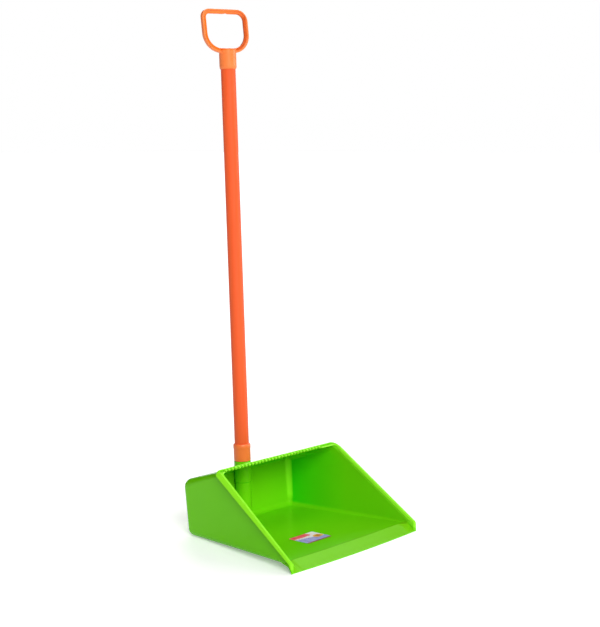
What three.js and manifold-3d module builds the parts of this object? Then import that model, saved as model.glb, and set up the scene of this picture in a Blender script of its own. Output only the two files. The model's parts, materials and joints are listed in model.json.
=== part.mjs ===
// Long-handled dustpan: a hooded pan moulded in one piece, a screw-in ferrule, a steel pole in a
// plastic sleeve, and a D-shaped grip. Lengths are in mm. Everything is drawn with the pan floor
// level and the pole upright; the last step leans it back until it stands on its lip and its heel.
import * as THREE from 'three';
import { ConvexGeometry } from 'three/addons/geometries/ConvexGeometry.js';
import { mergeVertices } from 'three/addons/utils/BufferGeometryUtils.js';
import Module from 'manifold-3d';

const wasm = await Module();
wasm.setup();

const degrees = Math.PI / 180;
const leanBack = 2.46 * degrees; // angle between the pan floor and the ground

// Pan: x runs across, y runs back from the ends of the lip, z runs up from the floor's underside.
const wall = 2.2;
const heelY = 236.2; // outside of the back wall at floor level
const heelHalf = 111.8; // half the outer width there
const sideTaper = 0.0958; // half width gained per mm towards the front
const sideDraft = 0.035; // half width gained per mm of height
const backDraft = 0.0673; // how far the back wall leans, per mm of height
const backTop = 82.75; // height of the roof's back edge
const roofFall = 0.28; // how far the roof drops per mm towards the back
const heelRadius = 11;
const backTopRadius = 13;
const floorEdgeRadius = 5;
const roofEdgeRadius = 6;
const floorReach = -35; // the rounded hull runs this far forwards along the floor, to be cut back
const roofReach = 112; // and this far forwards along the roof

// Opening: one slanted plane from the top of the front ends up to the comb.
const frontY = -1.0;
const frontZ = 4.3;
const combY = 148.0;
const combZ = 112.9;
const roofCut = 14; // how far forwards the cut behind the teeth reaches
const openingSink = 1; // the shell is cut this far below the rim's top face
const rimOverhang = 4.8; // from the wall's outer face to the rim's edge at the comb
const rimCrest = 2.1; // the skirt starts this far outside the wall
const skirtLow = 0.52; // size of the skirt at the lip, and at the comb
const skirtHigh = 1.3;
const frontBend = 6; // bend of the rim where it turns down to the lip
const cornerRight = 16; // outer corner between the comb and the right side of the rim
const cornerLeft = 5.8; // the same corner on the left, which is much tighter

// Lip and ramp.
const heelContactY = heelY + heelRadius * (backDraft - Math.hypot(1, backDraft));
const lipDrop = heelContactY * Math.tan(leanBack) + heelRadius * (1 / Math.cos(leanBack) - 1);
const lipEndY = -0.5;
const lipBow = 4.4; // the lip's middle stands this far ahead of its ends
const lipThick = 1.3;
const lipFoot = 3.0; // width of the flat strip under the lip
const lipClear = 0.15; // the rim's ends stop this far above the ground
const lipDepth = 0.3; // how much of the rim's depth is left at its ends
const lipSteps = 6;
const creaseY = 19.1; // fold between the floor and the ramp
const creaseCornerHalf = 112; // beyond this half width the fold turns forwards
const creaseCornerRun = 10.5;
const creaseLap = 6; // overlap of the ramp and the floor behind the fold
const mouthSteps = 48; // sections across the mouth

// Comb.
const toothCount = 30;
const toothPitch = 6.88;
const combMiddleX = -12.9; // the row of teeth sits off the middle, to the left
const toothWide = 3.6;
const toothTip = 3.0;
const toothLong = 3.6;
const toothThick = 2.4;
const toothRoot = 0.8; // buried in the rim
const plateThick = 1.3; // the rim's upright plate, behind the teeth
const plateDeep = 5.0; // its height down to the undercut edge of the roof
const toothShoulder = 1.2; // length of the full-width part
const toothSink = 0.2; // depth below the rim's top face

// Socket for the pole.
const poleY = 227.4;
const socketTop = 94.5;
const socketRadius = 12.85;
const socketLowerRadius = 12.2;
const socketStep = 62.4;
const socketFoot = 1.5; // clears the ground behind the heel
const socketBore = 9.85;
const socketFloor = 57.9;
const socketWeb = 3;
const socketEdge = 0.5;

// Ferrule, pole and grip.
const seatGap = 0.3;
const ferruleTop = 121.1;
const ferruleRadius = 12.85;
const ferruleBead = 13.3;
const ferruleSeat = 97.9; // the pole stands on this shoulder
const stubRadius = 9.4;
const stubBottom = 61.4;
const threadPitch = 4;
const threadDepth = 0.7;
const stubWall = 2.6;
const shoulderEdge = 0.4;
const beadTall = 7; // the bead round the ferrule's top, from its foot upwards
const poleRadius = 11;
const sleeveThick = 0.6;
const tubeThick = 0.7;
const slideGap = 0.15;
const gripBottom = 688.2;
const gripSleeveRadius = 12.7;
const gripBoreTop = 709.9;
const ringTop = 776.1;
const ringBottom = 712.4;
const ringHalf = 37.4;
const ringBar = 6.8; // thickness of the ring seen from the front
const ringDeep = 7.2; // thickness of the ring seen from the side
const ribDeep = 3.8; // thickness of the rib round its inside
const ringCornerLeft = 12.5; // upper corners
const ringCornerRight = 17;
const ringLowerCorner = 28;
const ringLean = 0.07; // the ring leans to the left over its neck
const gripTurn = -17 * degrees; // the grip stops a little short of square to the pan

// Label on the pan floor.
const labelWide = 50;
const labelLong = 40;
const labelThick = 0.3;
const labelX = -17;
const labelY = 74;

const roundSegments = 56;
const ballAround = 36;
const ballUp = 24;
const bendSteps = 8;
const beyond = 400; // further than the pan reaches in any direction

// Solids.

function toManifold(geometry) {
  const bare = geometry.clone();
  bare.deleteAttribute('normal');
  bare.deleteAttribute('uv');
  const merged = mergeVertices(bare, 1e-4);
  const mesh = new wasm.Mesh({
    numProp: 3,
    vertProperties: new Float32Array(merged.attributes.position.array),
    triVerts: new Uint32Array(merged.index.array),
  });
  return new wasm.Manifold(mesh);
}

function fromManifold(solid) {
  const mesh = solid.getMesh();
  const geometry = new THREE.BufferGeometry();
  geometry.setAttribute('position', new THREE.BufferAttribute(mesh.vertProperties, 3));
  geometry.setIndex(new THREE.BufferAttribute(mesh.triVerts, 1));
  return geometry;
}

function signedVolume(points, index) {
  let sum = 0;
  for (let i = 0; i < index.length; i += 3) {
    const [a, b, c] = [points[index[i]], points[index[i + 1]], points[index[i + 2]]];
    sum += a.dot(new THREE.Vector3().crossVectors(b, c));
  }
  return sum / 6;
}

// Skin a run of equal rings. A run that isn't a loop is capped with the flat outline given.
function skin(rings, outline, loop = false) {
  const size = outline.length;
  const points = rings.flat();
  const index = [];
  const spans = loop ? rings.length : rings.length - 1;
  for (let r = 0; r < spans; r += 1) {
    const low = r * size;
    const high = ((r + 1) % rings.length) * size;
    for (let i = 0; i < size; i += 1) {
      const next = (i + 1) % size;
      index.push(low + i, low + next, high + next, low + i, high + next, high + i);
    }
  }
  if (!loop) {
    const last = (rings.length - 1) * size;
    const forwards = THREE.ShapeUtils.area(outline) > 0;
    for (const [a, b, c] of THREE.ShapeUtils.triangulateShape(outline, [])) {
      const [p, q] = forwards ? [b, c] : [c, b];
      index.push(a, q, p, last + a, last + p, last + q);
    }
  }
  if (signedVolume(points, index) < 0) index.reverse();
  const geometry = new THREE.BufferGeometry().setFromPoints(points);
  geometry.setIndex(index);
  return geometry;
}

function block(low, high) {
  const size = new THREE.Vector3().subVectors(high, low);
  const middle = new THREE.Vector3().addVectors(low, high).multiplyScalar(0.5);
  return new THREE.BoxGeometry(size.x, size.y, size.z).translate(middle.x, middle.y, middle.z);
}

// A turned piece on the z axis; the outline gives radius and height, its outer side going up.
function turned(outline) {
  const points = outline.map(([radius, height]) => new THREE.Vector2(radius, height));
  return new THREE.LatheGeometry(points, roundSegments).rotateX(Math.PI / 2);
}

// Pan.

function outerHalf(y, z) {
  return heelHalf + sideTaper * (heelY - y) + sideDraft * z;
}

// Centre of a ball of the given radius that touches three planes from inside.
function ballCentre(planes, radius) {
  const rows = planes.map((plane) => plane.normal);
  const matrix = new THREE.Matrix3().set(
    rows[0].x, rows[0].y, rows[0].z,
    rows[1].x, rows[1].y, rows[1].z,
    rows[2].x, rows[2].y, rows[2].z);
  const reach = new THREE.Vector3(...planes.map((plane) => -plane.constant - radius));
  return reach.applyMatrix3(matrix.invert());
}

function planeThrough(normal, point) {
  return new THREE.Plane().setFromNormalAndCoplanarPoint(normal.normalize(), point);
}

// The hood is the hull of eight balls, each tangent to the three faces that meet there.
function hoodHull(inset) {
  const floor = planeThrough(new THREE.Vector3(0, 0, -1), new THREE.Vector3());
  const back = planeThrough(new THREE.Vector3(0, 1, -backDraft), new THREE.Vector3(0, heelY, 0));
  const roofEdge = new THREE.Vector3(0, heelY + backDraft * backTop, backTop);
  const roof = planeThrough(new THREE.Vector3(0, roofFall, 1), roofEdge);
  const lowFront = planeThrough(new THREE.Vector3(0, -1, 0), new THREE.Vector3(0, floorReach, 0));
  const highFront = planeThrough(new THREE.Vector3(0, -1, 0), new THREE.Vector3(0, roofReach, 0));
  const points = [];
  for (const side of [-1, 1]) {
    const slant = new THREE.Vector3(side, sideTaper, -sideDraft);
    const cheek = planeThrough(slant, new THREE.Vector3(side * heelHalf, heelY, 0));
    const corners = [
      [floor, back, heelRadius],
      [roof, back, backTopRadius],
      [floor, lowFront, floorEdgeRadius],
      [roof, highFront, roofEdgeRadius],
    ];
    for (const [first, second, radius] of corners) {
      const centre = ballCentre([first, second, cheek], radius);
      const ball = new THREE.SphereGeometry(radius - inset, ballAround, ballUp);
      const position = ball.attributes.position;
      for (let i = 0; i < position.count; i += 1) {
        points.push(new THREE.Vector3().fromBufferAttribute(position, i).add(centre));
      }
    }
  }
  return toManifold(new ConvexGeometry(points));
}

const openingSlope = Math.atan2(combZ - frontZ, combY - frontY);
const alongOpening = new THREE.Vector3(0, Math.cos(openingSlope), Math.sin(openingSlope));
const outOfOpening = new THREE.Vector3(0, -Math.sin(openingSlope), Math.cos(openingSlope));

// Everything above the opening plane, lowered by a given depth.
function openingCutter(depth) {
  const cutter = block(
    new THREE.Vector3(-beyond, -beyond, 0), new THREE.Vector3(beyond, beyond, beyond));
  cutter.rotateX(openingSlope);
  const foot = outOfOpening.clone().multiplyScalar(-depth);
  cutter.translate(foot.x, frontY + foot.y, frontZ + foot.z);
  return toManifold(cutter);
}

function foldY(x, half) {
  const across = x / half;
  const corner = THREE.MathUtils.smoothstep(Math.abs(x), creaseCornerHalf, half);
  return creaseY - lipBow * (1 - across * across) - creaseCornerRun * corner;
}

// A solid across the whole mouth; section(x, half) gives its outline in y and z.
function acrossMouth(half, section) {
  const rings = [];
  for (let i = 0; i <= mouthSteps; i += 1) {
    const x = half * Math.sin((i / mouthSteps - 0.5) * Math.PI);
    rings.push(section(x, half).map(([y, z]) => new THREE.Vector3(x, y, z)));
  }
  const outline = section(0, half).map(([y, z]) => new THREE.Vector2(y, z));
  return toManifold(skin(rings, outline));
}

const mouthHalf = outerHalf(0, 0) - 0.6;

// Takes the floor away ahead of the fold.
function floorFrontCutter() {
  const top = wall + 1.3;
  return acrossMouth(mouthHalf - wall, (x) => {
    const end = foldY(x, mouthHalf) + 1;
    return [[-beyond, -beyond], [end, -beyond], [end, top], [-beyond, top]];
  });
}

function groundZ(y) {
  return -lipDrop + y * Math.tan(leanBack);
}

function ramp() {
  return acrossMouth(mouthHalf, (x, half) => {
    const across = x / half;
    const lip = lipEndY - lipBow * (1 - across * across);
    const fold = foldY(x, half);
    const back = lip + lipFoot;
    return [
      [lip, groundZ(lip)],
      [back, groundZ(back)],
      [fold + 0.5, 0],
      [fold + creaseLap, 0],
      [fold + creaseLap, wall],
      [fold, wall],
      [lip, groundZ(lip) + lipThick],
    ];
  });
}

// Small cheeks close the gap between the ends of the ramp and the side walls.
function cheeks() {
  const low = 1 - lipDrop;
  const outline = [
    [0.2, low], [0.2, 4], [26, 4], [22, 1.2], [17, -0.2], [12, -1.3],
    [8.5, -2.6], [6, -4.4], [4.6, -6.4], [3.8, low],
  ];
  const flat = outline.map(([y, z]) => new THREE.Vector2(y, z));
  return [-1, 1].map((side) => {
    const rings = [3, 0.7].map((inset) => outline.map(
      ([y, z]) => new THREE.Vector3(side * (outerHalf(y, 0) - inset), y, z)));
    return toManifold(skin(rings, flat));
  });
}

// Outlines of the rim: outwards from the wall's outer face, and up out of the opening plane.
// The sides have a sloping skirt and a bead inside; at the comb a thin plate stands up from the roof.
const rimAtSides = [
  [5.2, -4.9], [5.0, -4.3], [2.7, -0.7], [2.1, -0.1], [1.5, 0], [0.3, -0.35], [-0.7, -0.35], [-1.5, 0],
  [-1.9, -0.3], [-3.2, -3.0], [-3.2, -4.4], [-1.4, -7.2], [-0.6, -7.2], [-0.6, -1.8], [1.4, -1.8],
  [3.7, -5.2],
];
const plateIn = rimOverhang - plateThick;
const rimAtComb = [
  [4.9, -6.4], [4.9, -1.2], [4.8, -0.5], [4.6, -0.1], [4.4, 0], [4.2, 0], [4.0, 0], [3.8, 0],
  [3.6, -0.2], [plateIn, -0.6], [plateIn, -1.8], [plateIn, -3.0], [plateIn, -4.0],
  [plateIn, -4.6], [plateIn, -5.0], [3.9, -6.4],
];

function arcSteps(from, to, count) {
  return Array.from({ length: count + 1 }, (_, i) => from + ((to - from) * i) / count);
}

// Stations of the rim up one side: lip, bend, straight run, then the rounded corner to the comb.
function rimSide(side, cornerRadius) {
  const stations = [];
  const outward = new THREE.Vector3(side, 0, 0);
  const turn = Math.PI / 2 - openingSlope;
  const bendStart = frontZ - frontBend * Math.tan(turn / 2);
  const hub = new THREE.Vector3(0, frontY + frontBend, bendStart);
  const place = (y, z, up, depth) => {
    const at = new THREE.Vector3(side * outerHalf(y, z), y, z);
    stations.push({ at, outward, up, depth, skirt: skirtLow * depth, comb: 0 });
  };
  const ahead = new THREE.Vector3(0, -1, 0);
  const foot = groundZ(frontY) + lipClear;
  for (let i = 0; i < lipSteps; i += 1) {
    const rise = i / lipSteps;
    place(frontY, foot + rise * (bendStart - foot), ahead, lipDepth + (1 - lipDepth) * rise ** 1.5);
  }
  for (const angle of arcSteps(0, turn, bendSteps)) {
    const up = new THREE.Vector3(0, -Math.cos(angle), Math.sin(angle));
    const at = up.clone().multiplyScalar(frontBend).add(hub);
    place(at.y, at.z, up, 1);
  }
  const run = new THREE.Vector3(0, combY - frontY, combZ - frontZ).length() - rimOverhang;
  const radius = cornerRadius - rimOverhang;
  const base = new THREE.Vector3(0, frontY, frontZ);
  const hubAt = alongOpening.clone().multiplyScalar(run - radius).add(base);
  const wallX = outerHalf(hubAt.y, hubAt.z);
  for (const angle of arcSteps(0, Math.PI / 2, bendSteps)) {
    const out = new THREE.Vector3(side * Math.cos(angle), 0, 0);
    out.addScaledVector(alongOpening, Math.sin(angle));
    const at = out.clone().multiplyScalar(radius).add(hubAt);
    at.x += side * (wallX - radius);
    const comb = Math.sin(angle) ** 2;
    stations.push({ at, outward: out, up: outOfOpening, depth: 1, skirt: skirtHigh, comb });
  }
  return stations;
}

function rim() {
  const left = rimSide(-1, cornerLeft);
  const right = rimSide(1, cornerRight);
  const stations = [...left, ...right.reverse()];
  const rings = stations.map(({ at, outward, up, depth, skirt, comb }) => rimAtSides.map(([u, v], i) => {
    const [uComb, vComb] = rimAtComb[i];
    const beyondCrest = u > rimCrest;
    const uSide = beyondCrest ? rimCrest + (u - rimCrest) * skirt : u;
    const vSide = v * (beyondCrest ? skirt : depth);
    return at.clone()
      .addScaledVector(outward, THREE.MathUtils.lerp(uSide, uComb, comb))
      .addScaledVector(up, THREE.MathUtils.lerp(vSide, vComb, comb));
  }));
  const flat = rimAtSides.map(([u, v]) => new THREE.Vector2(u, v));
  return toManifold(skin(rings, flat));
}

function combTeeth() {
  const shape = new THREE.Shape();
  shape.moveTo(-toothWide / 2, toothRoot);
  shape.lineTo(-toothWide / 2, -toothShoulder);
  shape.lineTo(-toothTip / 2, -toothLong);
  shape.lineTo(toothTip / 2, -toothLong);
  shape.lineTo(toothWide / 2, -toothShoulder);
  shape.lineTo(toothWide / 2, toothRoot);
  const frame = new THREE.Matrix4().makeBasis(
    new THREE.Vector3(1, 0, 0), alongOpening, outOfOpening);
  const inner = new THREE.Vector3(0, combY, combZ);
  inner.addScaledVector(alongOpening, -plateThick);
  inner.addScaledVector(outOfOpening, -toothThick - toothSink);
  return Array.from({ length: toothCount }, (_, i) => {
    const tooth = new THREE.ExtrudeGeometry(shape, { depth: toothThick, bevelEnabled: false });
    tooth.applyMatrix4(frame);
    const x = combMiddleX + (i - (toothCount - 1) / 2) * toothPitch;
    return toManifold(tooth.translate(x, inner.y, inner.z));
  });
}

// Takes the roof's front edge away behind the teeth, leaving the plate on an undercut edge.
function combCutter() {
  const shape = new THREE.Shape();
  const past = 4;
  shape.moveTo(-plateThick, past);
  shape.lineTo(-plateThick, -plateDeep);
  shape.lineTo(-plateThick + past, -plateDeep - 1.5 * past);
  shape.lineTo(-roofCut, -plateDeep - 1.5 * past);
  shape.lineTo(-roofCut, past);
  const frame = new THREE.Matrix4().makeBasis(
    alongOpening, outOfOpening, new THREE.Vector3(1, 0, 0));
  const half = (toothCount * toothPitch) / 2;
  const cutter = new THREE.ExtrudeGeometry(shape, { depth: 2 * half, bevelEnabled: false });
  cutter.applyMatrix4(frame);
  return toManifold(cutter.translate(combMiddleX - half, combY, combZ));
}

function socketBody() {
  return toManifold(turned([
    [0, socketFoot], [socketLowerRadius, socketFoot], [socketLowerRadius, socketStep - 1],
    [socketRadius, socketStep], [socketRadius, socketTop - socketEdge],
    [socketRadius - socketEdge, socketTop], [0, socketTop],
  ]).translate(0, poleY, 0));
}

function boreCutter(low, high) {
  return toManifold(new THREE.CylinderGeometry(socketBore, socketBore, high - low, roundSegments)
    .rotateX(Math.PI / 2).translate(0, poleY, (low + high) / 2));
}

function panGeometry() {
  const shell = hoodHull(0)
    .subtract(hoodHull(wall))
    .subtract(openingCutter(openingSink))
    .subtract(toManifold(block(
      new THREE.Vector3(-beyond, -beyond, -beyond),
      new THREE.Vector3(beyond, frontY + 0.6, beyond))))
    .subtract(floorFrontCutter());
  const parts = [ramp(), ...cheeks(), rim()];
  let pan = shell;
  for (const piece of parts) pan = pan.add(piece);
  pan = pan.subtract(combCutter());
  for (const piece of [...combTeeth(), socketBody()]) pan = pan.add(piece);
  pan = pan
    .subtract(boreCutter(socketFloor, socketTop + 5))
    .subtract(boreCutter(-5, socketFloor - socketWeb));
  return fromManifold(pan);
}

// Ferrule, pole, grip and label.

function ferruleGeometry() {
  const shoulder = socketTop + seatGap;
  const thread = [];
  const turns = Math.floor((shoulder - stubBottom - 4) / threadPitch);
  for (let i = 0; i < turns; i += 1) {
    const z = stubBottom + 2 + i * threadPitch;
    thread.push([stubRadius - threadDepth, z], [stubRadius, z + 1.1]);
    thread.push([stubRadius, z + 1.8], [stubRadius - threadDepth, z + 2.9]);
  }
  return turned([
    [0, ferruleSeat - 3.5], [stubRadius - stubWall, ferruleSeat - 4.5],
    [stubRadius - stubWall, stubBottom],
    [stubRadius - 1.3, stubBottom], [stubRadius - threadDepth, stubBottom + 0.8],
    ...thread,
    [stubRadius - threadDepth, shoulder], [ferruleRadius - shoulderEdge, shoulder],
    [ferruleRadius, shoulder + shoulderEdge], [ferruleRadius, ferruleTop - beadTall - 1],
    [ferruleBead - 0.1, ferruleTop - beadTall], [ferruleBead, ferruleTop - beadTall + 1.5],
    [ferruleBead, ferruleTop - 2.6], [ferruleBead - 0.5, ferruleTop - 0.9],
    [ferruleBead - 1.4, ferruleTop], [poleRadius + slideGap, ferruleTop],
    [poleRadius + slideGap, ferruleSeat], [0, ferruleSeat],
  ]).translate(0, poleY, 0);
}

function pipe(outer, inner) {
  const low = ferruleSeat + seatGap;
  const high = gripBoreTop - seatGap;
  return turned([[inner, low], [outer, low], [outer, high], [inner, high], [inner, low]])
    .translate(0, poleY, 0);
}

// Middle line of the D-shaped ring, in the grip's own plane.
function ringPath() {
  const half = ringHalf - ringBar / 2;
  const top = ringTop - ringBar / 2;
  const bottom = ringBottom + ringBar / 2;
  const left = ringCornerLeft - ringBar / 2;
  const right = ringCornerRight - ringBar / 2;
  const low = ringLowerCorner - ringBar / 2;
  const path = new THREE.Path();
  path.moveTo(-half + left, top);
  path.lineTo(half - right, top);
  path.absarc(half - right, top - right, right, Math.PI / 2, 0, true);
  path.absarc(half - low, bottom + low, low, 0, -Math.PI / 2, true);
  path.absarc(-half + low, bottom + low, low, -Math.PI / 2, -Math.PI, true);
  path.absarc(-half + left, top - left, left, Math.PI, Math.PI / 2, true);
  return path;
}

function ringSolid() {
  const bar = ringBar / 2;
  const deep = ringDeep / 2;
  const half = [[bar, deep - 0.4], [bar - 0.4, deep], [0.9, deep], [0.4, deep - 0.5],
    [0.2, ribDeep / 2], [0.4 - bar, ribDeep / 2], [-bar, ribDeep / 2 - 0.4]];
  const section = [...half, ...half.map(([u, v]) => [u, -v]).reverse()];
  const route = ringPath().getPoints(14);
  const points = route.filter((p, i) => i === 0 || p.distanceTo(route[i - 1]) > 0.01);
  if (points[0].distanceTo(points.at(-1)) < 0.01) points.pop();
  const rings = points.map((p, i) => {
    const before = points[(i + points.length - 1) % points.length];
    const after = points[(i + 1) % points.length];
    const ahead = new THREE.Vector2().subVectors(after, p).normalize();
    const behind = new THREE.Vector2().subVectors(p, before).normalize();
    const tangent = ahead.clone().add(behind).normalize();
    const stretch = 1 / tangent.dot(ahead);
    const out = new THREE.Vector2(-tangent.y, tangent.x).multiplyScalar(stretch);
    return section.map(([u, v]) => {
      const z = p.y + out.y * u;
      return new THREE.Vector3(p.x + out.x * u - ringLean * (z - ringBottom), v, z);
    });
  });
  return toManifold(skin(rings, section.map(([u, v]) => new THREE.Vector2(u, v)), true));
}

function gripGeometry() {
  const neckTop = ringBottom + ringBar - 0.6;
  const neck = toManifold(turned([
    [0, gripBottom], [gripSleeveRadius - 1.1, gripBottom],
    [gripSleeveRadius - 0.2, gripBottom + 2.2], [gripSleeveRadius, gripBottom + 3.4],
    [gripSleeveRadius, neckTop - 1], [gripSleeveRadius - 0.8, neckTop], [0, neckTop],
  ]));
  const radius = poleRadius + slideGap;
  const bore = toManifold(turned([
    [0, gripBottom - 5], [radius, gripBottom - 5], [radius, gripBoreTop], [0, gripBoreTop],
  ]));
  const grip = fromManifold(neck.add(ringSolid()).subtract(bore));
  return grip.rotateZ(gripTurn).translate(0, poleY, 0);
}

function labelGeometry() {
  const corner = 2;
  const [w, l] = [labelWide / 2, labelLong / 2];
  const shape = new THREE.Shape();
  shape.moveTo(-w + corner, -l);
  shape.lineTo(w - corner, -l);
  shape.absarc(w - corner, -l + corner, corner, -Math.PI / 2, 0);
  shape.absarc(w - corner, l - corner, corner, 0, Math.PI / 2);
  shape.absarc(-w + corner, l - corner, corner, Math.PI / 2, Math.PI);
  shape.absarc(-w + corner, -l + corner, corner, Math.PI, 1.5 * Math.PI);
  return new THREE.ExtrudeGeometry(shape, { depth: labelThick, bevelEnabled: false, curveSegments: 6 })
    .translate(labelX, labelY, wall + 0.1);
}

// Assembly.

const finishes = {
  pan: { color: 0x58c814, roughness: 0.28, metalness: 0 },
  floor_label: { color: 0xd8cfe4, roughness: 0.4, metalness: 0 },
  ferrule: { color: 0xff8246, roughness: 0.4, metalness: 0 },
  pole_tube: { color: 0xb8bcc0, roughness: 0.35, metalness: 1 },
  pole_sleeve: { color: 0xf86830, roughness: 0.5, metalness: 0 },
  grip: { color: 0xff8246, roughness: 0.4, metalness: 0 },
};

const shapes = {
  pan: panGeometry(),
  floor_label: labelGeometry(),
  ferrule: ferruleGeometry(),
  pole_tube: pipe(poleRadius - sleeveThick - 0.1, poleRadius - sleeveThick - 0.1 - tubeThick),
  pole_sleeve: pipe(poleRadius, poleRadius - sleeveThick),
  grip: gripGeometry(),
};

const dustpan = new THREE.Group();
dustpan.name = 'dustpan';
for (const [name, geometry] of Object.entries(shapes)) {
  geometry.rotateX(-leanBack);
  geometry.computeVertexNormals();
  const mesh = new THREE.Mesh(geometry, new THREE.MeshStandardMaterial(finishes[name]));
  mesh.name = name;
  dustpan.add(mesh);
}

const bounds = new THREE.Box3().setFromObject(dustpan);
const middle = bounds.getCenter(new THREE.Vector3());
for (const mesh of dustpan.children) {
  mesh.geometry.translate(-middle.x, -middle.y, -bounds.min.z);
}

export default dustpan;
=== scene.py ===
"""Long-handled dustpan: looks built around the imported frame.

Lengths are in metres, in the frame of the CAD, except where a comment says millimetres.
"""

import json
import math

import bmesh
import bpy
from mathutils import Matrix, Vector


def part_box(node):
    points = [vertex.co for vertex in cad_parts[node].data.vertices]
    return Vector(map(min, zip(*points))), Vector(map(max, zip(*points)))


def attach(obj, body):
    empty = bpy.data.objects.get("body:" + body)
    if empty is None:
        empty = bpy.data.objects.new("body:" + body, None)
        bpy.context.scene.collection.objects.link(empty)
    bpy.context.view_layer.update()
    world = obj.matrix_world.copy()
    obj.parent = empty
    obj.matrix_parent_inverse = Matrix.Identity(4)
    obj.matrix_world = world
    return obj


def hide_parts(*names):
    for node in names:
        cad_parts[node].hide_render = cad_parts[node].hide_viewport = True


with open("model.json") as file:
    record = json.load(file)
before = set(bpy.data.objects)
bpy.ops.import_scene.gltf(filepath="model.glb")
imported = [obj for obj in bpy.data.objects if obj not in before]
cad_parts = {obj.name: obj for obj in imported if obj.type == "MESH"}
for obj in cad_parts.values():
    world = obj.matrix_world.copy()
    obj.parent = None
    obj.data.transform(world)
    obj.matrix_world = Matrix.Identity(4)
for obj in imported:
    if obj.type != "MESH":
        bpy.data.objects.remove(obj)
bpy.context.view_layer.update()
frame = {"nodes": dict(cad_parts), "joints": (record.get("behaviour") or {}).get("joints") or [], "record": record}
turn = next(j for j in frame["joints"] if j["name"] == "handle_turn")
AXIS = Vector(turn["axis"]).normalized()
SEAT = Vector(turn["pos_m"])  # the pole's axis crosses the socket's top here
LEAN = Vector((0, 0, 1)).rotation_difference(AXIS).to_matrix().to_4x4()
MM = 0.001

# Pole and ferrule, in millimetres. Heights run along the pole from the top of the pan's socket.
POLE_LOW, POLE_HIGH, POLE_R = 3.7, 615.1, 11.0
FILM_WALL = 0.6
CUP_R = 11.15  # the bores that take the pole, in the ferrule and in the grip
CUP_FLOOR, CUP_ROOF = 3.4, 615.4
COLLAR_LOW, COLLAR_TOP = 0.3, 26.6
COLLAR_R, BEAD_R = 12.85, 13.3
STUB_LOW, STUB_HIGH, STUB_R = -33.1, -2.0, 9.4
CORE_ROOF, CORE_R = 0.9, 6.8  # the hollow up the middle of the stub
THREAD_LOW = STUB_LOW + 1.5
PITCH, THREAD = 4.0, 0.7

# Grip, in millimetres. The ring is drawn in its own plane: x across, z up from its foot.
NECK_LOW, NECK_R = 593.7, 12.7
RING_FOOT = 617.9
NECK_TOP = RING_FOOT + 5.8
RING_TALL, RING_HALF = 63.7, 37.4
RING_BAR, RING_DEEP, RIB_DEEP = 6.8, 7.2, 3.8
LEFT_R, RIGHT_R, LOWER_R = 12.5, 17.0, 28.0
NOTCH_X, NOTCH_DEPTH, NOTCH_WIDTH = 2.5, 1.2, 1.8  # a dip in the inner side of the top bar
RING_LEAN = 0.07  # millimetres to the left for each one up
GRIP_TURN = math.radians(-17)

OPENING_FOOT = Vector((0, -0.13582, 0.01405))  # where the plane of the pan's opening meets the lip
OPENING_NORMAL = Vector((0, -0.5538, 0.8326))

GREENS = {
    "dark": (0.145, 0.61, 0.003),
    "light": (0.16, 0.63, 0.004),
    # Past the two random tones, these are painted light: painted shade on the inner walls and under the roof, a
    # painted highlight in the upright corners, painted shade on the ramp and a painted highlight on the rim.
    "painted_shade": (0.035, 0.6, 0.003),
    "backdrop_glow_and_painted_highlight": (0.26, 0.85, 0.015),
    "ramp": (0.158, 0.54, 0.004),
    "rim": (0.26, 0.8, 0.02),
}


# ---------------------------------------------------------------- materials


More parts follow.
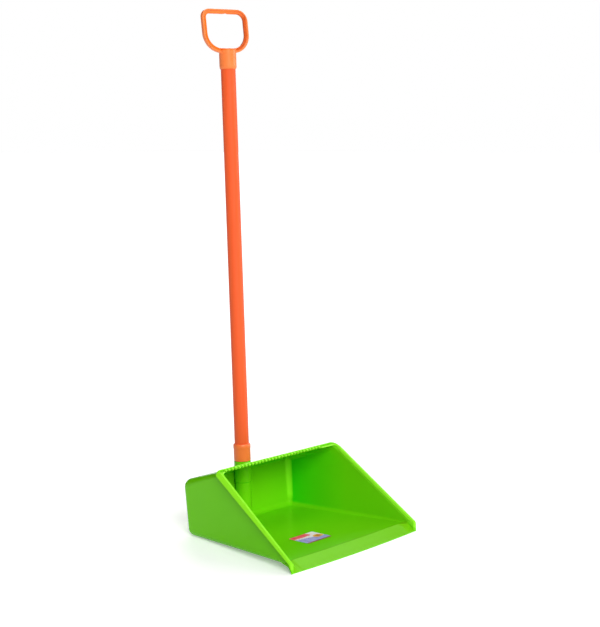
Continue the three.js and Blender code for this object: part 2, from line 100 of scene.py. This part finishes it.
class Shader:
    """A node material with one Principled shader, and short ways to wire noise into it."""

    def __init__(self, name, base, roughness, **sockets):
        self.material = bpy.data.materials.new(name)
        self.material.use_nodes = True
        self.tree = self.material.node_tree
        self.shader = self.tree.nodes["Principled BSDF"]
        self.shader.inputs["Base Color"].default_value = (*base, 1)
        self.shader.inputs["Roughness"].default_value = roughness
        for socket, value in sockets.items():
            self.shader.inputs[socket.replace("_", " ")].default_value = value
        self.place = self.node("ShaderNodeTexCoord").outputs["Object"]

    def node(self, kind, **settings):
        made = self.tree.nodes.new(kind)
        for name, value in settings.items():
            setattr(made, name, value)
        return made

    def link(self, output, target):
        self.tree.links.new(output, target)

    def scaled(self, stretch):
        mapping = self.node("ShaderNodeMapping")
        mapping.inputs["Scale"].default_value = stretch
        self.link(self.place, mapping.inputs["Vector"])
        return mapping.outputs["Vector"]

    def noise(self, scale, detail=3.0, stretch=(1, 1, 1)):
        noise = self.node("ShaderNodeTexNoise")
        noise.inputs["Scale"].default_value = scale
        noise.inputs["Detail"].default_value = detail
        self.link(self.scaled(stretch), noise.inputs["Vector"])
        return noise.outputs["Fac"]

    def spread(self, value, low, high, start=0.3, end=0.7):
        """Maps values from start to end onto low to high, and holds there beyond."""
        node = self.node("ShaderNodeMapRange")
        for socket, number in zip(("From Min", "From Max", "To Min", "To Max"), (start, end, low, high)):
            node.inputs[socket].default_value = number
        self.link(value, node.inputs["Value"])
        return node.outputs["Result"]

    def mix(self, share, first, second):
        """Mixes two colours, each a tuple or an output."""
        node = self.node("ShaderNodeMix", data_type="RGBA")
        for socket, value in (("A", first), ("B", second)):
            target = next(s for s in node.inputs if s.name == socket and s.type == "RGBA")
            if isinstance(value, tuple):
                target.default_value = (*value, 1)
            else:
                self.link(value, target)
        self.link(share, node.inputs["Factor"])
        return next(s for s in node.outputs if s.type == "RGBA")

    def math(self, operation, first, second):
        node = self.node("ShaderNodeMath", operation=operation)
        for target, value in zip(node.inputs, (first, second)):
            if isinstance(value, (int, float)):
                target.default_value = value
            else:
                self.link(value, target)
        return node.outputs[0]

    def times(self, first, *others):
        """The product of outputs or numbers."""
        for other in others:
            first = self.math("MULTIPLY", first, other)
        return first

    def axes(self, vector):
        """The three components of a vector output."""
        split = self.node("ShaderNodeSeparateXYZ")
        self.link(vector, split.inputs[0])
        return split.outputs["X"], split.outputs["Y"], split.outputs["Z"]

    def step(self, value, edge):
        """One where the value is above the edge, otherwise zero."""
        return self.math("GREATER_THAN", value, edge)

    def below(self, value, edge):
        """One where the value is not above the edge, otherwise zero."""
        return self.math("SUBTRACT", 1, self.step(value, edge))

    def square(self, value, middle, scale):
        """The square of the distance from middle, times scale squared."""
        away = self.math("MULTIPLY", self.math("SUBTRACT", value, middle), scale)
        return self.math("MULTIPLY", away, away)

    def colour(self, output):
        self.link(output, self.shader.inputs["Base Color"])

    def roughness(self, output):
        self.link(output, self.shader.inputs["Roughness"])

    def bump(self, height, distance, below=None):
        """Adds a bump layer of a given depth in metres, on top of another one if given."""
        node = self.node("ShaderNodeBump")
        node.inputs["Distance"].default_value = distance
        self.link(height, node.inputs["Height"])
        if below is not None:
            self.link(below, node.inputs["Normal"])
        self.link(node.outputs["Normal"], self.shader.inputs["Normal"])
        return node.outputs["Normal"]


def pan_zones(made):
    """Shares from 0 to 1 for the zones of the pan's colour, the same on both sides of the pan: all are painted
    light, either painted shade or painted highlights.
    """
    across, back, up = made.axes(made.place)
    right, rear, top = made.axes(made.node("ShaderNodeTexCoord").outputs["Normal"])
    sideways = made.math("ABSOLUTE", right, 0)

    # The height over the plane of the opening parts the rim from what lies inside the pan.
    above = made.math("ADD", made.times(back, OPENING_NORMAL.y), made.times(up, OPENING_NORMAL.z))
    above = made.math("SUBTRACT", above, OPENING_NORMAL.dot(OPENING_FOOT))
    # The rim's share: its paler colour is a painted highlight.
    rim = made.spread(above, 0, 1, start=-0.0075, end=-0.0055)
    inside = made.spread(above, 1, 0, start=-0.02, end=-0.008)

    # Painted shade, of a purer green: the inner faces of the side walls and of the roof, more so towards the back.
    inward = made.spread(made.times(right, across), 1, 0, start=-0.05, end=-0.02)
    walls = made.times(made.spread(sideways, 0, 1, start=0.8, end=0.98), inward)
    ceiling = made.times(made.spread(top, 1, 0, start=-0.6, end=-0.2), made.step(up, 0.05))
    to_back = made.spread(back, 0, 1, start=-0.01, end=0.09)
    painted_shade = made.times(made.math("MAXIMUM", walls, ceiling), to_back, inside)

    # Painted highlight: the round upright corners at the back, which face forwards and sideways at once.
    corner = made.times(
        sideways, made.math("MULTIPLY", rear, -1), made.spread(sideways, 0, 1, start=0.1, end=0.4))
    backdrop_glow_and_painted_highlight = made.times(made.spread(corner, 0, 0.8, start=0.1, end=0.45), inside, made.step(back, 0.07))
    off_middle = made.step(made.math("ABSOLUTE", across, 0), 0.06)
    backdrop_glow_and_painted_highlight = made.times(backdrop_glow_and_painted_highlight, made.spread(up, 0, 1, start=0.01, end=0.02), off_middle)

    # Painted shade: the ramp is darker than the rest of the pan.
    ramp = made.times(made.spread(back, 1, 0, start=-0.117, end=-0.115), made.step(top, 0.5))
    return {"painted_shade": painted_shade, "backdrop_glow_and_painted_highlight": backdrop_glow_and_painted_highlight, "ramp": ramp, "rim": rim}


def pan_plastic():
    """Glossy green; a paler painted highlight on the rim and in the upright inner corners, painted shade of a
    purer green on the inner walls and under the roof, and darker painted shade on the ramp."""
    made = Shader(
        "pan_plastic", (0.15, 0.62, 0.004), 0.24, Specular_IOR_Level=0.24, Specular_Tint=(0.45, 1, 0.1, 1))
    body = made.mix(made.spread(made.noise(9, 2), 0, 1), GREENS["dark"], GREENS["light"])
    for zone, share in pan_zones(made).items():
        body = made.mix(share, body, GREENS[zone])
    made.colour(body)
    made.roughness(made.spread(made.noise(60, 4), 0.21, 0.27))
    made.bump(made.noise(16, 1), 0.0002)
    return made.material


def ring_place(made):
    """A point's x across the ring and z up from the ring's middle, in metres, with the ring's lean undone."""
    to_ring = Matrix.Rotation(-GRIP_TURN, 3, "Z") @ LEAN.to_3x3().inverted()
    mapping = made.node("ShaderNodeMapping")
    mapping.inputs["Rotation"].default_value = to_ring.to_euler()
    middle = Vector((0, 0, (RING_FOOT + RING_TALL / 2) * MM))
    mapping.inputs["Location"].default_value = to_ring @ -SEAT - middle
    made.link(made.place, mapping.inputs["Vector"])
    x, _, z = made.axes(mapping.outputs["Vector"])
    lean = made.math("MULTIPLY", made.math("ADD", z, RING_TALL / 2 * MM), RING_LEAN)
    return made.math("ADD", x, lean), z


def ring_outwards(made, x, z):
    """How far outside the ring's middle line a point lies: the distance from a rectangle with round corners.

    The corners' radius goes over from the lower ones to the upper ones near the ring's middle.
    """
    low_radius, top_radius = LOWER_R - RING_BAR / 2, (LEFT_R + RIGHT_R - RING_BAR) / 2
    radius = made.spread(z, low_radius * MM, top_radius * MM, start=-0.005, end=0.005)
    squares = []
    for value, half in ((x, RING_HALF), (z, RING_TALL / 2)):
        past = made.math("SUBTRACT", made.math("ABSOLUTE", value, 0), (half - RING_BAR / 2) * MM)
        side = made.math("MAXIMUM", made.math("ADD", past, radius), 0)
        squares.append(made.math("MULTIPLY", side, side))
    corner = made.math("SQRT", made.math("ADD", *squares), 0)
    return made.math("SUBTRACT", corner, radius)


def fitting_plastic():
    """Satin orange; painted shade makes the rib round the inside of the grip's ring deeper in colour than its
    outer band, darkest on the ring's right side, and painted light makes the ferrule a brighter, redder orange.
    """
    made = Shader(
        "fitting_plastic", (0.97, 0.24, 0.07), 0.38, Specular_IOR_Level=0.5, Specular_Tint=(1, 0.85, 0.7, 1))
    x, z = ring_place(made)
    half_tall = RING_TALL / 2 * MM
    above_neck = made.spread(z, 0, 1, start=2 * MM - half_tall, end=5 * MM - half_tall)
    fade_at_top = made.spread(z, 1, 0.35, start=half_tall - 12 * MM, end=half_tall - 5 * MM)
    inner_side = made.spread(ring_outwards(made, x, z), 1, 0, start=0.3 * MM, end=0.9 * MM)
    rib = made.times(inner_side, made.times(above_neck, fade_at_top))
    # Painted shade in the recess of the rib, darker on the ring's right side.
    rib_painted_shade = made.mix(made.spread(x, 0, 1, start=0, end=0.02), (0.95, 0.155, 0.002), (0.6, 0.08, 0.001))
    # Painted light: a brighter, redder orange at the ferrule makes up for the shade and the green light from the
    # pan there.
    ferrule_painted_light = made.spread(made.axes(made.place)[2], 1, 0, start=0.14, end=0.2)
    body = made.mix(made.spread(made.noise(40, 3), 0, 1), (0.95, 0.212, 0.045), (0.98, 0.238, 0.058))
    body = made.mix(rib, body, rib_painted_shade)
    made.colour(made.mix(ferrule_painted_light, body, (1.0, 0.195, 0.045)))
    made.roughness(made.spread(made.noise(220, 3), 0.33, 0.43))
    made.bump(made.noise(1500, 2), 0.00001)
    return made.material


def sleeve_plastic():
    """Satin red-orange film with faint streaks and wrinkles along the pole."""
    made = Shader("sleeve_plastic", (0.9, 0.118, 0.024), 0.5, Specular_IOR_Level=0.25)
    streaks = made.spread(made.noise(180, 4, stretch=(1, 1, 0.03)), 0, 1)
    made.colour(made.mix(streaks, (0.84, 0.1, 0.018), (0.88, 0.117, 0.026)))
    made.roughness(made.spread(made.noise(160, 4, stretch=(1, 1, 0.15)), 0.42, 0.58))
    wrinkles = made.bump(made.noise(45, 2, stretch=(1, 1, 0.25)), 0.0002)
    made.bump(made.noise(1800, 2), 0.00002, wrinkles)
    return made.material


def tube_steel():
    """Plain steel with faint lines along the pole, which the film hides."""
    made = Shader("tube_steel", (0.72, 0.74, 0.76), 0.35, Metallic=1.0)
    lines = made.spread(made.noise(900, 3, stretch=(1, 1, 0.01)), 0, 1)
    made.colour(made.mix(lines, (0.66, 0.68, 0.7), (0.76, 0.78, 0.8)))
    made.roughness(made.spread(made.noise(500, 3, stretch=(1, 1, 0.02)), 0.28, 0.42))
    made.bump(made.noise(900, 3, stretch=(1, 1, 0.01)), 0.00001)
    return made.material


def label_paper():
    """A gloss sticker of plain colour blocks: red and white behind, an orange spot at the right, lavender
    in front and a dark strip along the front edge."""
    made = Shader("label_paper", (0.8, 0.75, 0.87), 0.35, Specular_IOR_Level=0.25)
    low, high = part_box("floor_label")
    x, y, _ = made.axes(made.place)
    # u runs from 0 to 1 across the label and v over it to the back, both with a little grain.
    across = made.spread(x, 0, 1, start=low.x, end=high.x)
    back = made.spread(y, 0, 1, start=low.y, end=high.y)
    grain = made.spread(made.noise(260, 3), -0.03, 0.03)
    u, v = made.math("ADD", across, grain), made.math("ADD", back, grain)
    pale = made.mix(made.spread(made.noise(120, 2), 0, 1), (0.98, 0.74, 0.84), (0.92, 0.84, 0.99))
    lavender = made.mix(made.spread(made.noise(150, 2), 0, 1), (0.28, 0.22, 0.7), (0.5, 0.42, 0.88))
    red = made.mix(made.spread(made.noise(200, 2), 0, 1), (0.92, 0.012, 0.09), (1.0, 0.1, 0.22))
    behind = made.step(made.math("ADD", v, made.math("MULTIPLY", u, 0.3)), 0.64)
    back_left = made.math("MULTIPLY", made.step(v, 0.7), made.below(u, 0.7))
    from_spot = made.math(
        "ADD", made.square(u, middle=0.8, scale=3.8), made.square(v, middle=0.47, scale=4.4))
    colour = made.mix(behind, lavender, pale)
    colour = made.mix(back_left, colour, red)
    colour = made.mix(made.below(from_spot, 0.5), colour, (0.9, 0.42, 0.1))
    colour = made.mix(made.below(from_spot, 0.16), colour, (0.6, 0.13, 0.01))
    colour = made.mix(made.below(back, 0.07), colour, (0.3, 0.02, 0.06))
    made.colour(colour)
    made.bump(made.noise(900, 2), 0.00001)
    return made.material


materials = {
    "pan_plastic": pan_plastic(),
    "fitting_plastic": fitting_plastic(),
    "sleeve_plastic": sleeve_plastic(),
    "tube_steel": tube_steel(),
    "label_paper": label_paper(),
}


# ---------------------------------------------------------------- pieces


def dress(piece, node, body):
    """Gives a new piece its body and the material of a CAD node's slot, and hides that node, which the piece
    stands for.
    """
    slot = next(s["material_slot"] for s in frame["record"]["subparts"] if s["node"] == node)
    piece.data.materials.clear()
    piece.data.materials.append(materials[slot])
    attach(piece, body)
    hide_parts(node)


def link_mesh(name, mesh):
    piece = bpy.data.objects.new(name, mesh)
    bpy.context.scene.collection.objects.link(piece)
    return piece


def apply_modifiers(piece):
    bpy.context.view_layer.update()
    mesh = bpy.data.meshes.new_from_object(piece.evaluated_get(bpy.context.evaluated_depsgraph_get()))
    piece.modifiers.clear()
    piece.data = mesh


def welded_copy(node, name):
    """A copy of a CAD node's mesh with its flat faces made whole."""
    work = bmesh.new()
    work.from_mesh(frame["nodes"][node].data)
    bmesh.ops.remove_doubles(work, verts=work.verts, dist=2e-6)
    bmesh.ops.dissolve_limit(work, angle_limit=math.radians(0.5), verts=work.verts, edges=work.edges)
    for face in work.faces:
        face.smooth = True
    mesh = bpy.data.meshes.new(name)
    work.to_mesh(mesh)
    work.free()
    return link_mesh(name, mesh)


def soften(piece, width, segments=2, angle=16):
    """Rounds the edges that fold by more than the angle, in degrees, by a width in metres."""
    bevel = piece.modifiers.new("edges", "BEVEL")
    bevel.width = width
    bevel.segments = segments
    bevel.limit_method = "ANGLE"
    bevel.angle_limit = math.radians(angle)
    bevel.use_clamp_overlap = True
    weighted = piece.modifiers.new("normals", "WEIGHTED_NORMAL")
    weighted.keep_sharp = True
    return piece


def place_on_axis(mesh):
    """Moves a mesh drawn round the z axis, heights counted from the socket's top, onto the pole's axis."""
    mesh.transform(Matrix.Translation(SEAT) @ LEAN)
    mesh.update()


def rounded(outline, radius, steps=4, curves_per_side=2.2):
    """The outline with each inner corner cut back by the radius and curved, or by less on a short side."""
    points = [Vector(p) for p in outline]
    made = [points[0]]
    for before, corner, after in zip(points, points[1:], points[2:]):
        cut = [min(radius, (end - corner).length / curves_per_side) for end in (before, after)]
        start = corner + (before - corner).normalized() * cut[0]
        end = corner + (after - corner).normalized() * cut[1]
        for i in range(steps + 1):
            t = i / steps
            made.append(start * (1 - t) ** 2 + corner * 2 * t * (1 - t) + end * t * t)
    return made + [points[-1]]


def turned(name, outline, segments=96, wave=None, on_axis=1e-6):
    """A closed turned mesh. The outline gives radius and height in millimetres, and wave(angle, height) adds
    to the radius. A point nearer the middle than on_axis is a single vertex."""
    mesh = bpy.data.meshes.new(name)
    work = bmesh.new()
    rings = []
    for radius, height in outline:
        if radius < on_axis:
            rings.append([work.verts.new((0, 0, height * MM))])
            continue
        ring = []
        for i in range(segments):
            angle = 2 * math.pi * i / segments
            r = radius + (wave(angle, height) if wave else 0)
            ring.append(work.verts.new((r * math.cos(angle) * MM, r * math.sin(angle) * MM, height * MM)))
        rings.append(ring)
    for low, high in zip(rings, rings[1:]):
        for i in range(segments):
            j = (i + 1) % segments
            corners = [low[i % len(low)], low[j % len(low)], high[j % len(high)], high[i % len(high)]]
            unique = list(dict.fromkeys(corners))
            if len(unique) > 2:
                work.faces.new(unique)
    bmesh.ops.remove_doubles(work, verts=work.verts, dist=1e-7)
    bmesh.ops.recalc_face_normals(work, faces=work.faces)
    for face in work.faces:
        face.smooth = True
    work.to_mesh(mesh)
    work.free()
    place_on_axis(mesh)
    return link_mesh(name, mesh)


def thread_wave(angle, height):
    """What a right-hand thread adds to the stub's radius, at an angle and a height: nothing on its crest."""
    if not THREAD_LOW < height < STUB_HIGH:
        return 0.0
    phase = (height / PITCH - angle / (2 * math.pi)) % 1
    groove = 0.5 + 0.5 * math.cos(2 * math.pi * phase)
    return -THREAD * groove ** 0.7  # the power widens the groove and thins the crest


def make_ferrule(thread_step=0.2):
    """The collar with a cup for the pole, and under it the threaded stub, hollow from its foot."""
    root = STUB_R - THREAD
    hollow = rounded([
        (0, CORE_ROOF), (CORE_R, CORE_ROOF - 1), (CORE_R, STUB_LOW), (root - 0.5, STUB_LOW),
        (root, STUB_LOW + 1.2)], radius=0.3)
    steps = round((STUB_HIGH - THREAD_LOW) / thread_step)
    stub = [(STUB_R, THREAD_LOW + thread_step * i) for i in range(steps)]
    collar = rounded([
        (root, STUB_HIGH + 0.1), (root, COLLAR_LOW), (COLLAR_R, COLLAR_LOW), (COLLAR_R, COLLAR_TOP - 8),
        (BEAD_R - 0.05, COLLAR_TOP - 6.2), (BEAD_R, COLLAR_TOP - 2.6), (BEAD_R - 0.7, COLLAR_TOP),
        (CUP_R, COLLAR_TOP), (CUP_R, CUP_FLOOR), (0, CUP_FLOOR)], radius=0.7)
    outline = [tuple(p) for p in hollow] + stub + [tuple(p) for p in collar]
    return turned("screw_ferrule", outline, wave=thread_wave)


def make_sleeve(rings=60):
    """The film's tube, with its outer edges eased."""
    bore, eased = POLE_R - FILM_WALL, POLE_R - 0.1
    side = [(POLE_R, POLE_LOW + (POLE_HIGH - POLE_LOW) * i / rings) for i in range(1, rings)]
    outline = [
        (bore, POLE_LOW), (eased, POLE_LOW), *side, (eased, POLE_HIGH), (bore, POLE_HIGH), (bore, POLE_LOW)]
    return turned("pole_sleeve_film", outline, segments=72)


def ring_path(arc_steps=16, spacing=2.0):
    """Points round the middle line of the D, anticlockwise from the left end of its top bar."""
    half, top, foot = RING_HALF - RING_BAR / 2, RING_TALL - RING_BAR / 2, RING_BAR / 2
    left, right, low = (r - RING_BAR / 2 for r in (LEFT_R, RIGHT_R, LOWER_R))
    arcs = [
        (-half + left, top - left, left, 90), (-half + low, foot + low, low, 180),
        (half - low, foot + low, low, 270), (half - right, top - right, right, 0)]
    points = []
    for x, z, radius, start in arcs:
        for i in range(arc_steps + 1):
            angle = math.radians(start + 90 * i / arc_steps)
            points.append(Vector((x + radius * math.cos(angle), z + radius * math.sin(angle))))
    dense = []
    for here, after in zip(points, points[1:] + points[:1]):
        count = max(1, round((after - here).length / spacing))
        dense += [here.lerp(after, i / count) for i in range(count)]
    return dense


def ring_mesh():
    """The ring swept round its path: a thick outer band, and a thinner rib inside it."""
    bar, deep, rib = RING_BAR / 2, RING_DEEP / 2, RIB_DEEP / 2
    band_in, rib_out, edge = 1.1, 0.6, 0.6
    # Half of the section: u runs outwards from the middle line, and v out of the ring's plane.
    half = [
        (bar, 0), (bar, deep - edge), (bar - 0.2, deep - 0.15), (bar - edge, deep), (band_in + 0.7, deep),
        (band_in + 0.3, deep - 0.15), (band_in, deep - 0.5), (band_in - 0.15, rib + 0.4), (rib_out, rib),
        (edge - bar, rib), (0.15 - bar, rib - 0.15), (-bar, rib - edge)]
    section = half + [(-bar, 0)] + [(u, -v) for u, v in reversed(half[1:])]
    path = ring_path()
    work = bmesh.new()
    rings = []
    for i, here in enumerate(path):
        ahead = (path[(i + 1) % len(path)] - path[i - 1]).normalized()
        out = Vector((ahead.y, -ahead.x))
        notch = 0
        if here.y > RING_TALL / 2:
            notch = NOTCH_DEPTH * math.exp(-(((here.x - NOTCH_X) / NOTCH_WIDTH) ** 2))
        ring = []
        for u, v in section:
            at = here + out * (u + (notch if u < 0 else 0))
            ring.append(work.verts.new(((at.x - RING_LEAN * at.y) * MM, v * MM, (at.y + RING_FOOT) * MM)))
        rings.append(ring)
    for low, high in zip(rings, rings[1:] + rings[:1]):
        for k in range(len(section)):
            n = (k + 1) % len(section)
            work.faces.new((low[k], low[n], high[n], high[k]))
    bmesh.ops.recalc_face_normals(work, faces=work.faces)
    mesh = bpy.data.meshes.new("ring")
    work.to_mesh(mesh)
    work.free()
    mesh.transform(Matrix.Rotation(GRIP_TURN, 4, "Z"))
    place_on_axis(mesh)
    return mesh


def make_grip():
    """The neck and the ring, fused by a fine remesh, so that they flow into each other as one moulding."""
    neck = turned("d_grip", [
        (CUP_R, NECK_LOW), (CUP_R + 0.45, NECK_LOW), (NECK_R - 0.2, NECK_LOW + 2.2),
        (NECK_R, NECK_LOW + 3.4), (NECK_R, NECK_TOP - 1.2), (NECK_R - 1, NECK_TOP), (0, NECK_TOP),
        (0, CUP_ROOF), (CUP_R, CUP_ROOF), (CUP_R, NECK_LOW)])
    ring = link_mesh("ring", ring_mesh())
    work = bmesh.new()
    for part in (neck, ring):
        work.from_mesh(part.data)
    mesh = bpy.data.meshes.new("d_grip")
    work.to_mesh(mesh)
    work.free()
    neck.data = mesh
    bpy.data.objects.remove(ring)
    fuse = neck.modifiers.new("fuse", "REMESH")
    fuse.mode = "VOXEL"
    fuse.voxel_size = 0.36 * MM
    fuse.use_smooth_shade = True
    smooth = neck.modifiers.new("smooth", "SMOOTH")
    smooth.factor = 0.5
    smooth.iterations = 3
    thin_out = neck.modifiers.new("thin_out", "DECIMATE")
    thin_out.ratio = 0.3
    apply_modifiers(neck)
    return neck


dress(soften(welded_copy("pan", "pan_moulding"), width=0.35 * MM), "pan", "pan_body")
dress(make_ferrule(), "ferrule", "ferrule_body")
dress(make_sleeve(), "pole_sleeve", "handle_body")
dress(make_grip(), "grip", "handle_body")
dress(soften(welded_copy("floor_label", "sticker"), width=0.05 * MM), "floor_label", "pan_body")
frame["nodes"]["pole_tube"].data.materials.clear()
frame["nodes"]["pole_tube"].data.materials.append(materials["tube_steel"])


# ---------------------------------------------------------------- camera, light and floor


def add_floor():
    """A white floor. The camera sees it brighter than the object does, so that the backdrop stays white."""
    reach = 60
    glow_on_object, glow_to_camera = 0.08, 0.3
    mesh = bpy.data.meshes.new("floor")
    corners = [(-reach, -reach, 0), (reach, -reach, 0), (reach, reach, 0), (-reach, reach, 0)]
    mesh.from_pydata(corners, [], [(0, 1, 2, 3)])
    floor = link_mesh("floor", mesh)
    made = Shader("floor", (0.95, 0.95, 0.95), 0.8, Specular_IOR_Level=0.1, Emission_Color=(1, 1, 1, 1))
    seen = made.node("ShaderNodeLightPath").outputs["Is Camera Ray"]
    backdrop_glow_and_painted_highlight = made.spread(seen, glow_on_object, glow_to_camera, start=0, end=1)
    made.link(backdrop_glow_and_painted_highlight, made.shader.inputs["Emission Strength"])
    mesh.materials.append(made.material)


# name, azimuth and elevation in degrees (0 shines from the lip's side, 90 from the right), strength
LIGHTS = [
    ("key", 330, 30, 2.42),
    ("back_left", 210, 8, 0.12),
    ("right_low", 60, 8, 1.0),
    ("right_high", 90, 55, 0.55),
    ("front", 15, 30, 0.42),
    ("top", 300, 80, 0.46),
    ("behind", 133, 25, 1.2),
]


def add_sun(name, azimuth, elevation, strength, softness=32):
    """A distant lamp, as wide in the sky as its softness in degrees."""
    turn_by, rise = math.radians(azimuth), math.radians(elevation)
    light = bpy.data.lights.new(name, "SUN")
    light.energy = strength
    light.angle = math.radians(softness)
    sun = bpy.data.objects.new(name, light)
    level = math.cos(rise)
    direction = Vector((math.sin(turn_by) * level, -math.cos(turn_by) * level, math.sin(rise)))
    sun.rotation_euler = direction.to_track_quat("Z", "Y").to_euler()
    bpy.context.scene.collection.objects.link(sun)


def add_world():
    """A background that is white to the camera and lights nothing."""
    world = bpy.data.worlds.new("studio")
    world.use_nodes = True
    background = world.node_tree.nodes["Background"]
    background.inputs["Strength"].default_value = 0
    seen = world.node_tree.nodes.new("ShaderNodeBackground")
    split = world.node_tree.nodes.new("ShaderNodeMixShader")
    path = world.node_tree.nodes.new("ShaderNodeLightPath")
    world.node_tree.links.new(path.outputs["Is Camera Ray"], split.inputs["Fac"])
    world.node_tree.links.new(background.outputs[0], split.inputs[1])
    world.node_tree.links.new(seen.outputs[0], split.inputs[2])
    seen.inputs["Color"].default_value = (1, 1, 1, 1)
    world.node_tree.links.new(split.outputs[0], world.node_tree.nodes["World Output"].inputs[0])
    bpy.context.scene.world = world


def add_camera():
    data = bpy.data.cameras.new("camera")
    data.lens = 74.70
    data.sensor_width = 36
    data.clip_end = 200
    camera = bpy.data.objects.new("camera", data)
    camera.location = (-1.3720, -1.3006, 0.5784)
    camera.rotation_euler = (math.radians(82.54), 0, math.radians(-47.08))
    bpy.context.scene.collection.objects.link(camera)
    bpy.context.scene.camera = camera


add_floor()
add_world()
for name, azimuth, elevation, strength in LIGHTS:
    add_sun(name, azimuth, elevation, strength)
add_camera()
bpy.context.scene.view_settings.view_transform = "Standard"
